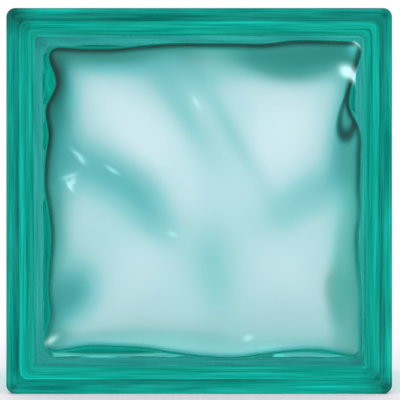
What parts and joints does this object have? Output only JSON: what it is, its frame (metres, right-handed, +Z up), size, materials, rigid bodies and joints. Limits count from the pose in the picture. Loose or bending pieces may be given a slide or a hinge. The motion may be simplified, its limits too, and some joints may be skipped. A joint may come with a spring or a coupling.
{
  "type": "glass block",
  "caption": "Square hollow glass building block with waved plates, turquoise-coated narrow sides and a mortar groove all round.",
  "frame": {"origin": "middle of the footprint on the floor, halfway between the front and rear faces", "axes": "+X to the right of a viewer of the front face, +Y from the front face to the rear face, +Z up, with the block standing on one of its narrow sides"},
  "size_m": [0.19, 0.08, 0.19],
  "materials": {
    "glass": "clear fire-polished glass, waved inside, with turquoise coated narrow sides"
  },
  "bodies": {
    "root": {"glass_block": "glass"}
  },
  "joints": []
}
